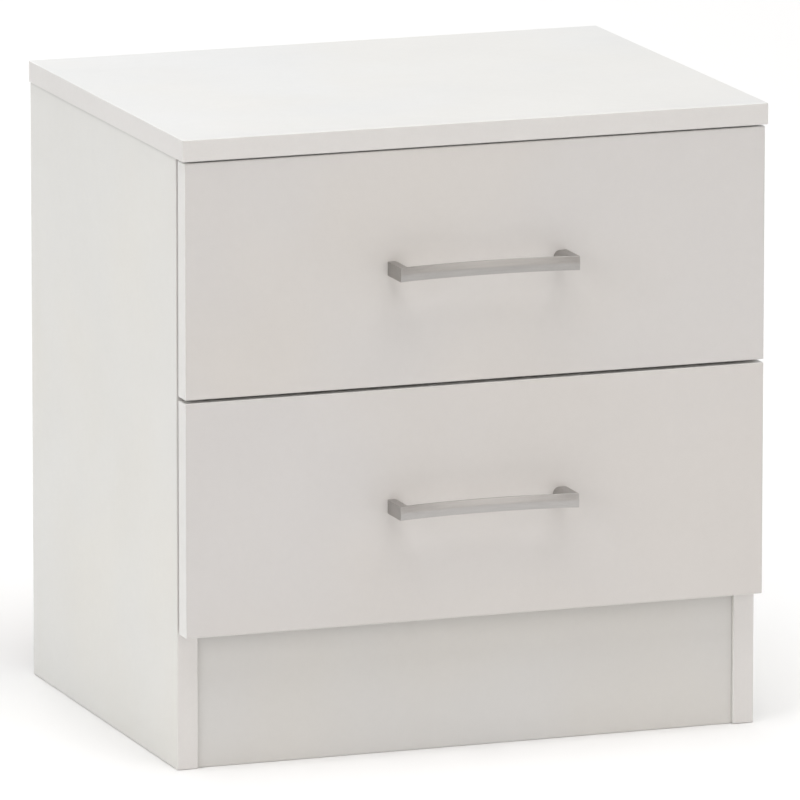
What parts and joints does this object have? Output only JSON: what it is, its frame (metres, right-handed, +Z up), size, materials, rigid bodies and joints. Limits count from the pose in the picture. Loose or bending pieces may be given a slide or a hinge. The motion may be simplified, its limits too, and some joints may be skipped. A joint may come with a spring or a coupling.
{
  "type": "nightstand with drawers",
  "caption": "White bedside cabinet with drawers: overlay fronts with bowed bar handles slide out on roller runners, over a recessed plinth between full-height sides.",
  "frame": {"origin": "centre of the overall bounding box at floor level", "axes": "+Z up, -Y out of the drawer fronts, +X to the right when facing the fronts"},
  "size_m": [0.45, 0.377, 0.466],
  "materials": {
    "white_melamine": "satin melamine foil on particleboard, white edge band",
    "drawer_box_foil": "satin paper foil on particleboard",
    "hardboard": "white-faced hardboard",
    "satin_nickel": "satin nickel plate on die-cast zinc",
    "epoxy_white_steel": "white epoxy powder coat",
    "nylon": "natural nylon",
    "zinc_plate": "bright zinc plate",
    "die_cast_zinc": "as cast",
    "beech": "raw",
    "clear_pad": "soft translucent polyurethane"
  },
  "bodies": {
    "cabinet": {"top_panel": "white_melamine", "left_side_panel": "white_melamine", "right_side_panel": "white_melamine", "bottom_panel": "white_melamine", "plinth": "white_melamine", "back_panel": "hardboard", "back_panel_pins": "zinc_plate", "cam_locks": "die_cast_zinc", "cam_bolts": "zinc_plate", "wood_dowels": "beech", "cabinet_runner_upper_left": "epoxy_white_steel", "cabinet_runner_upper_right": "epoxy_white_steel", "cabinet_runner_lower_left": "epoxy_white_steel", "cabinet_runner_lower_right": "epoxy_white_steel", "cabinet_runner_screws": "zinc_plate", "cabinet_roller_axles": "zinc_plate"},
    "drawer_upper": {"drawer_front_upper": "white_melamine", "drawer_side_upper_left": "drawer_box_foil", "drawer_runner_upper_left": "epoxy_white_steel", "drawer_side_upper_right": "drawer_box_foil", "drawer_runner_upper_right": "epoxy_white_steel", "drawer_back_upper": "drawer_box_foil", "drawer_bottom_upper": "hardboard", "drawer_cams_upper": "die_cast_zinc", "drawer_cam_bolts_upper": "zinc_plate", "drawer_dowels_upper": "beech", "drawer_back_screws_upper": "zinc_plate", "drawer_runner_screws_upper": "zinc_plate", "drawer_roller_axles_upper": "zinc_plate", "handle_upper": "satin_nickel", "handle_screws_upper": "zinc_plate", "bumper_pads_upper": "clear_pad"},
    "drawer_lower": {"drawer_front_lower": "white_melamine", "drawer_side_lower_left": "drawer_box_foil", "drawer_runner_lower_left": "epoxy_white_steel", "drawer_side_lower_right": "drawer_box_foil", "drawer_runner_lower_right": "epoxy_white_steel", "drawer_back_lower": "drawer_box_foil", "drawer_bottom_lower": "hardboard", "drawer_cams_lower": "die_cast_zinc", "drawer_cam_bolts_lower": "zinc_plate", "drawer_dowels_lower": "beech", "drawer_back_screws_lower": "zinc_plate", "drawer_runner_screws_lower": "zinc_plate", "drawer_roller_axles_lower": "zinc_plate", "handle_lower": "satin_nickel", "handle_screws_lower": "zinc_plate", "bumper_pads_lower": "clear_pad"},
    "cabinet_roller_upper_left": {"cabinet_roller_upper_left": "nylon"},
    "cabinet_roller_upper_right": {"cabinet_roller_upper_right": "nylon"},
    "cabinet_roller_lower_left": {"cabinet_roller_lower_left": "nylon"},
    "cabinet_roller_lower_right": {"cabinet_roller_lower_right": "nylon"},
    "drawer_roller_upper_left": {"drawer_roller_upper_left": "nylon"},
    "drawer_roller_upper_right": {"drawer_roller_upper_right": "nylon"},
    "drawer_roller_lower_left": {"drawer_roller_lower_left": "nylon"},
    "drawer_roller_lower_right": {"drawer_roller_lower_right": "nylon"}
  },
  "joints": [
    {"name": "drawer_upper_slide", "type": "slide", "parent": "cabinet", "child": "drawer_upper", "axis": [0, -1, 0], "range_m": [0, 0.225]},
    {"name": "cabinet_roller_upper_left_spin", "type": "hinge", "parent": "cabinet", "child": "cabinet_roller_upper_left", "pos_m": [-0.2008, -0.1265, 0.3034], "axis": [1, 0, 0], "range_deg": [0, 1300]},
    {"name": "drawer_roller_upper_left_spin", "type": "hinge", "parent": "drawer_upper", "child": "drawer_roller_upper_left", "pos_m": [-0.2008, 0.1415, 0.3026], "axis": [1, 0, 0], "range_deg": [0, 1440]},
    {"name": "cabinet_roller_upper_right_spin", "type": "hinge", "parent": "cabinet", "child": "cabinet_roller_upper_right", "pos_m": [0.2008, -0.1265, 0.3034], "axis": [1, 0, 0], "range_deg": [0, 1300]},
    {"name": "drawer_roller_upper_right_spin", "type": "hinge", "parent": "drawer_upper", "child": "drawer_roller_upper_right", "pos_m": [0.2008, 0.1415, 0.3026], "axis": [1, 0, 0], "range_deg": [0, 1440]},
    {"name": "drawer_lower_slide", "type": "slide", "parent": "cabinet", "child": "drawer_lower", "axis": [0, -1, 0], "range_m": [0, 0.225]},
    {"name": "cabinet_roller_lower_left_spin", "type": "hinge", "parent": "cabinet", "child": "cabinet_roller_lower_left", "pos_m": [-0.2008, -0.1265, 0.1283], "axis": [1, 0, 0], "range_deg": [0, 1300]},
    {"name": "drawer_roller_lower_left_spin", "type": "hinge", "parent": "drawer_lower", "child": "drawer_roller_lower_left", "pos_m": [-0.2008, 0.1415, 0.1275], "axis": [1, 0, 0], "range_deg": [0, 1440]},
    {"name": "cabinet_roller_lower_right_spin", "type": "hinge", "parent": "cabinet", "child": "cabinet_roller_lower_right", "pos_m": [0.2008, -0.1265, 0.1283], "axis": [1, 0, 0], "range_deg": [0, 1300]},
    {"name": "drawer_roller_lower_right_spin", "type": "hinge", "parent": "drawer_lower", "child": "drawer_roller_lower_right", "pos_m": [0.2008, 0.1415, 0.1275], "axis": [1, 0, 0], "range_deg": [0, 1440]}
  ],
  "couplings": [
    {"joint": "cabinet_roller_upper_left_spin", "follows": "drawer_upper_slide", "rad_per_m": 100},
    {"joint": "drawer_roller_upper_left_spin", "follows": "drawer_upper_slide", "rad_per_m": 111.11},
    {"joint": "cabinet_roller_upper_right_spin", "follows": "drawer_upper_slide", "rad_per_m": 100},
    {"joint": "drawer_roller_upper_right_spin", "follows": "drawer_upper_slide", "rad_per_m": 111.11},
    {"joint": "cabinet_roller_lower_left_spin", "follows": "drawer_lower_slide", "rad_per_m": 100},
    {"joint": "drawer_roller_lower_left_spin", "follows": "drawer_lower_slide", "rad_per_m": 111.11},
    {"joint": "cabinet_roller_lower_right_spin", "follows": "drawer_lower_slide", "rad_per_m": 100},
    {"joint": "drawer_roller_lower_right_spin", "follows": "drawer_lower_slide", "rad_per_m": 111.11}
  ]
}
